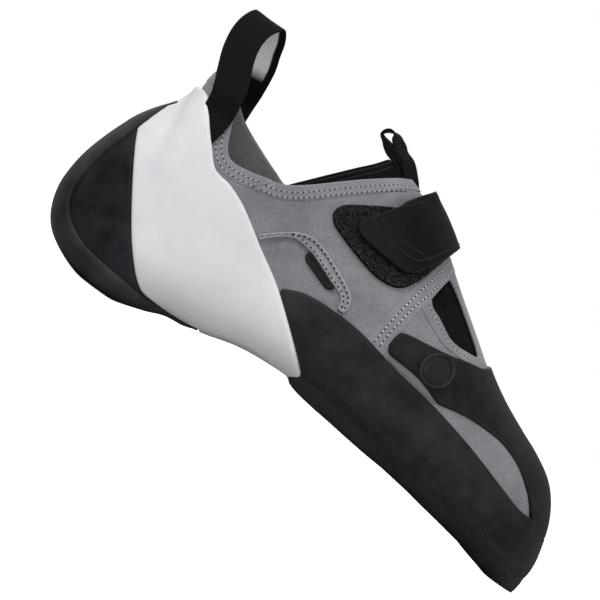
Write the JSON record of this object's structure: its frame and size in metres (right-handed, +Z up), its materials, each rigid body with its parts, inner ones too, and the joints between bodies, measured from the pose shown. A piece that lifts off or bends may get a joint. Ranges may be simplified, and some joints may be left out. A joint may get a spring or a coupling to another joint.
{
  "type": "climbing shoe",
  "caption": "Right-foot climbing shoe with hollow grey upper, rubber rand, forefoot sole, pale heel tension band, rubber heel cup, toe patch, closing strap and pull loops.",
  "frame": {"origin": "on the floor at the middle of the heel's flat spot", "axes": "+X from heel to toe, +Z up, -Y towards the outer side of the right foot"},
  "size_m": [0.2508, 0.0893, 0.1307],
  "materials": {
    "grey_suede": "grey synthetic suede with a short nap",
    "dark_lining": "dark grey lining cloth",
    "black_knit": "black knitted cloth",
    "black_rubber": "satin black rubber",
    "pale_rubber": "smooth satin pale grey rubber",
    "black_loop_fabric": "fuzzy black loop fabric",
    "black_strap": "fine-grained black synthetic strap",
    "black_webbing": "ribbed black webbing"
  },
  "bodies": {
    "root": {"upper": "grey_suede", "insole": "dark_lining", "tongue": "black_knit", "rand": "black_rubber", "outsole": "black_rubber", "heel_cup": "black_rubber", "heel_strip": "black_rubber", "tension_band": "pale_rubber", "arch_cover": "pale_rubber", "toe_patch": "black_rubber", "closure_pad": "black_loop_fabric", "strap": "black_strap", "side_tag": "black_rubber", "heel_loop": "black_webbing", "tongue_loop": "black_webbing"}
  },
  "joints": []
}
